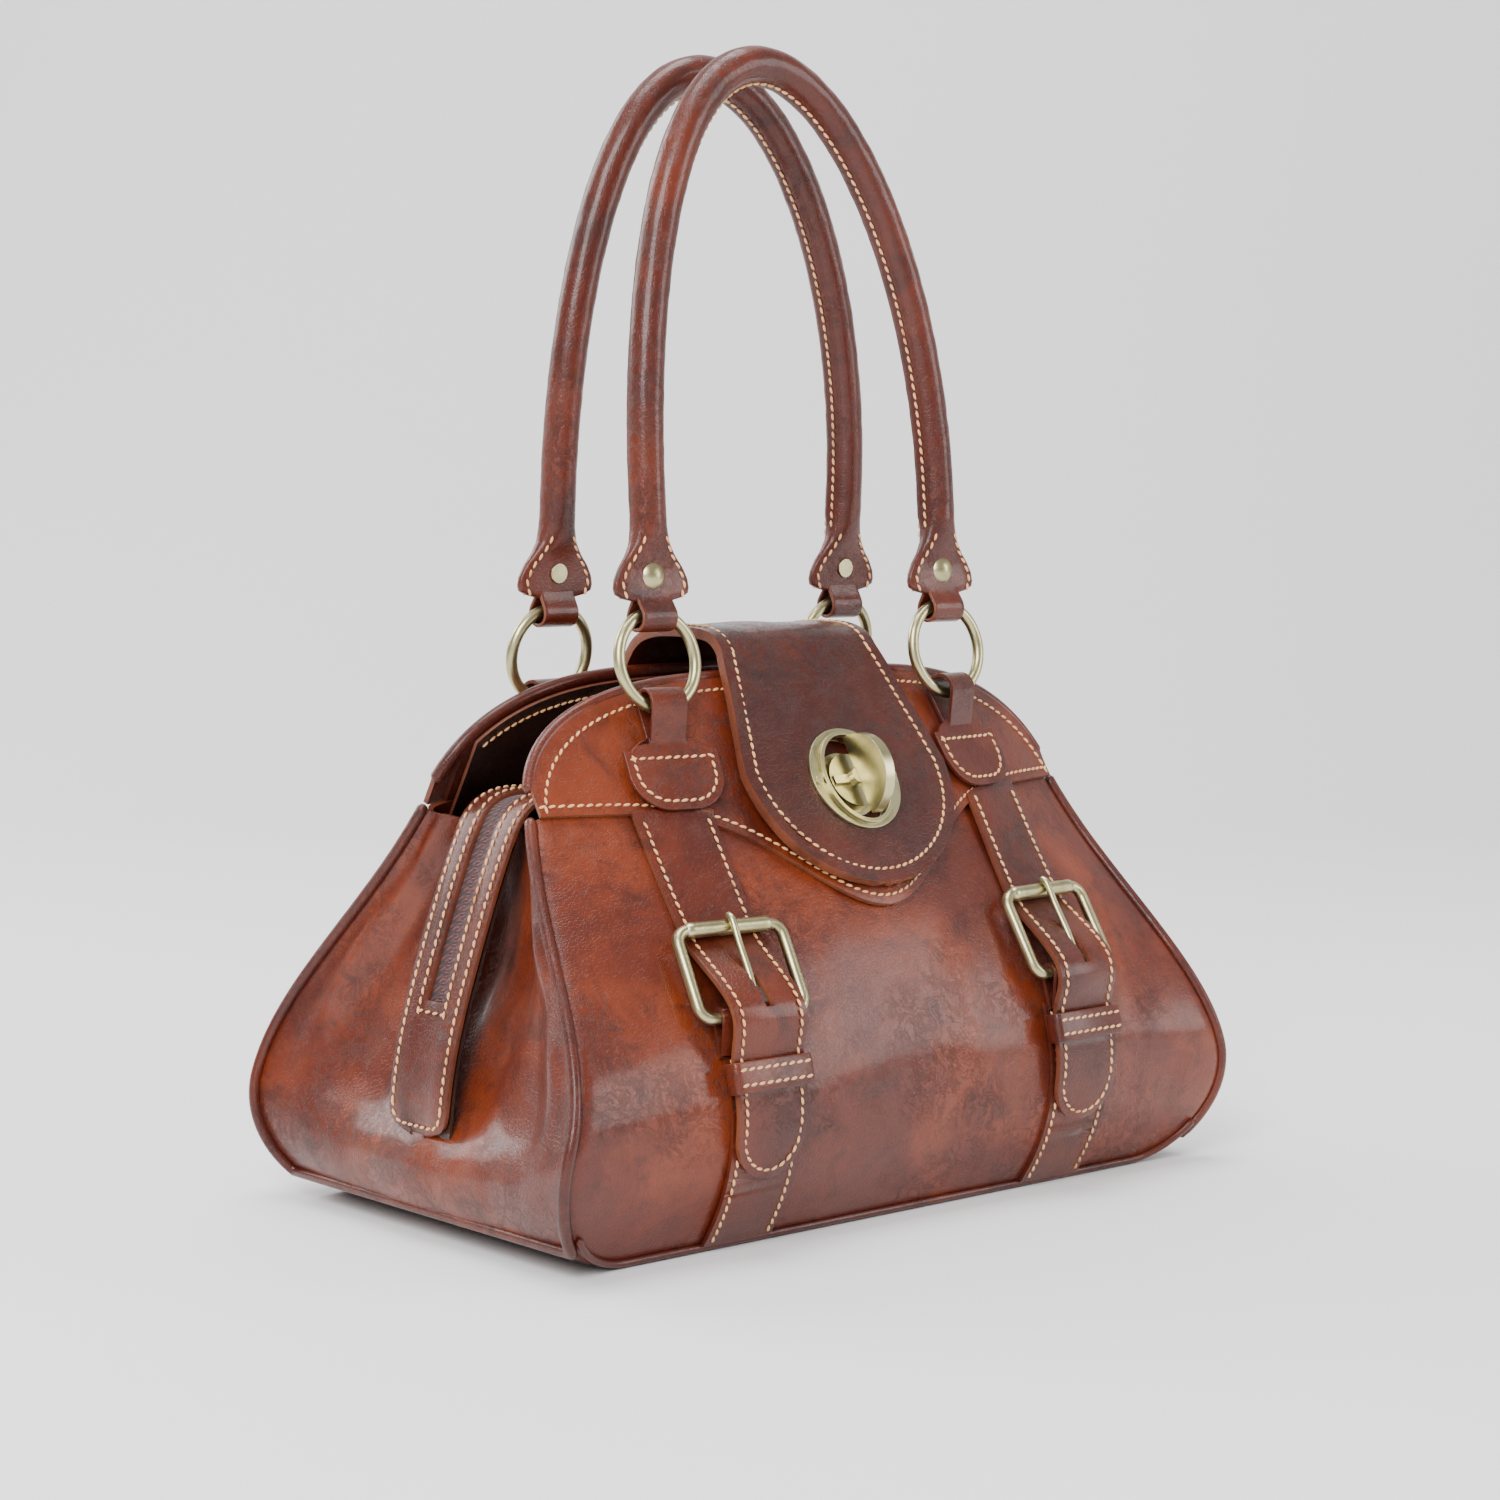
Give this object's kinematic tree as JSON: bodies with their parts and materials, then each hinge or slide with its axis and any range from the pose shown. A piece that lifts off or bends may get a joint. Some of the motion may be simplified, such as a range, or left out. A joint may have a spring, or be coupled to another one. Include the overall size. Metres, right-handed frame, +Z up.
{
  "type": "satchel bag",
  "caption": "Structured leather satchel with rolled top handles on rings, a flap with a turn lock, front buckled straps and a recessed zip.",
  "frame": {"origin": "on the floor at the middle of the base", "axes": "+Z up, +X along the width, the flap and the buckles face -Y"},
  "size_m": [0.3224, 0.1983, 0.4144],
  "materials": {
    "body_leather": "glossy mottled cognac leather",
    "trim_leather": "glossy cognac leather with paler cut edges",
    "facing_leather": "dark leather inside the collars",
    "board": "stiff fibre board",
    "lining_cloth": "plain woven cotton",
    "brass": "antique pale brass, worn",
    "zip_tape": "dark burgundy herringbone tape",
    "zip_coil": "dark burgundy nylon coil",
    "core": "dense filler cord"
  },
  "bodies": {
    "bag": {"back_collar_edge": "trim_leather", "back_panel": "body_leather", "back_yoke": "body_leather", "back_yoke_facing": "facing_leather", "base_board": "board", "base_edges": "trim_leather", "base_panel": "body_leather", "chape_left": "trim_leather", "chape_right": "trim_leather", "collar_boards": "board", "flap_rear_lining": "body_leather", "flap_rear_outer": "body_leather", "front_collar_edge": "trim_leather", "front_panel": "body_leather", "front_yoke": "body_leather", "front_yoke_facing": "facing_leather", "gusset_left": "body_leather", "gusset_right": "body_leather", "keeper_left": "trim_leather", "keeper_right": "trim_leather", "lining": "lining_cloth", "lock_base": "brass", "piping_left": "trim_leather", "piping_right": "trim_leather", "ring_tab_back_left": "trim_leather", "ring_tab_back_right": "trim_leather", "ring_tab_front_left": "trim_leather", "ring_tab_front_right": "trim_leather", "strap_left": "trim_leather", "strap_right": "trim_leather", "zip_band": "trim_leather", "zip_coils": "zip_coil", "zip_panels": "facing_leather", "zip_tail_backings": "trim_leather", "zip_tapes": "zip_tape"},
    "ring_front_left": {"ring_front_left": "brass"},
    "ring_front_right": {"ring_front_right": "brass"},
    "ring_back_left": {"ring_back_left": "brass"},
    "ring_back_right": {"ring_back_right": "brass"},
    "handle_front": {"handle_front": "trim_leather", "handle_front_core": "core", "handle_front_rivets": "brass"},
    "handle_back": {"handle_back": "trim_leather", "handle_back_core": "core", "handle_back_rivets": "brass"},
    "flap": {"flap_outer": "body_leather", "flap_lining": "body_leather", "lock_plate": "brass", "lock_washer": "brass", "lock_plate_bolts": "brass"},
    "lock_knob": {"lock_knob": "brass"},
    "zip_slider": {"zip_slider": "brass"},
    "zip_pull": {"zip_pull": "brass"},
    "buckle_left": {"buckle_frame_left": "brass"},
    "roller_left": {"buckle_roller_left": "brass"},
    "prong_left": {"buckle_prong_left": "brass"},
    "buckle_right": {"buckle_frame_right": "brass"},
    "roller_right": {"buckle_roller_right": "brass"},
    "prong_right": {"buckle_prong_right": "brass"}
  },
  "joints": [
    {"name": "ring_front_left_turn", "type": "hinge", "parent": "bag", "child": "ring_front_left", "pos_m": [-0.07, -0.03379, 0.18271], "axis": [1, 0, 0], "range_deg": [0, 75]},
    {"name": "ring_front_right_turn", "type": "hinge", "parent": "bag", "child": "ring_front_right", "pos_m": [0.07, -0.03379, 0.18271], "axis": [1, 0, 0], "range_deg": [0, 75]},
    {"name": "ring_back_left_turn", "type": "hinge", "parent": "bag", "child": "ring_back_left", "pos_m": [-0.07, 0.03379, 0.18271], "axis": [-1, 0, 0], "range_deg": [0, 75]},
    {"name": "ring_back_right_turn", "type": "hinge", "parent": "bag", "child": "ring_back_right", "pos_m": [0.07, 0.03379, 0.18271], "axis": [-1, 0, 0], "range_deg": [0, 75]},
    {"name": "handle_front_drop", "type": "hinge", "parent": "ring_front_left", "child": "handle_front", "pos_m": [-0.07, -0.02831, 0.21283], "axis": [1, 0, 0], "range_deg": [-2, 40]},
    {"name": "handle_back_drop", "type": "hinge", "parent": "ring_back_left", "child": "handle_back", "pos_m": [-0.07, 0.02831, 0.21283], "axis": [-1, 0, 0], "range_deg": [-2, 40]},
    {"name": "flap_lift", "type": "hinge", "parent": "bag", "child": "flap", "pos_m": [0, -0.0275, 0.2005], "axis": [-1, 0, 0], "range_deg": [0, 150]},
    {"name": "lock_knob_turn", "type": "hinge", "parent": "bag", "child": "lock_knob", "pos_m": [0, -0.05598, 0.15403], "axis": [0, -0.8526, 0.5225], "range_deg": [0, 90]},
    {"name": "zip_slide", "type": "slide", "parent": "bag", "child": "zip_slider", "axis": [-1, 0, 0], "range_m": [0, 0.196]},
    {"name": "zip_pull_turn", "type": "hinge", "parent": "zip_slider", "child": "zip_pull", "pos_m": [0.098, 0, 0.1555], "axis": [0, 1, 0], "range_deg": [0, 120]},
    {"name": "buckle_left_tilt", "type": "hinge", "parent": "bag", "child": "buckle_left", "pos_m": [-0.07766, -0.09184, 0.08188], "axis": [0.9958, -0.0914, 0], "range_deg": [0, 8]},
    {"name": "roller_left_spin", "type": "hinge", "parent": "buckle_left", "child": "roller_left", "pos_m": [-0.07619, -0.07582, 0.10955], "axis": [0.9958, -0.0914, 0], "continuous": true},
    {"name": "prong_left_lift", "type": "hinge", "parent": "buckle_left", "child": "prong_left", "pos_m": [-0.07766, -0.09184, 0.08188], "axis": [0.9958, -0.0914, 0], "range_deg": [0, 12]},
    {"name": "buckle_right_tilt", "type": "hinge", "parent": "bag", "child": "buckle_right", "pos_m": [0.07766, -0.09184, 0.08188], "axis": [0.9958, 0.0914, 0], "range_deg": [0, 8]},
    {"name": "roller_right_spin", "type": "hinge", "parent": "buckle_right", "child": "roller_right", "pos_m": [0.07619, -0.07582, 0.10955], "axis": [0.9958, 0.0914, 0], "continuous": true},
    {"name": "prong_right_lift", "type": "hinge", "parent": "buckle_right", "child": "prong_right", "pos_m": [0.07766, -0.09184, 0.08188], "axis": [0.9958, 0.0914, 0], "range_deg": [0, 12]}
  ],
  "couplings": [
    {"joint": "ring_front_right_turn", "follows": "ring_front_left_turn", "ratio": 1},
    {"joint": "ring_back_right_turn", "follows": "ring_back_left_turn", "ratio": 1}
  ]
}
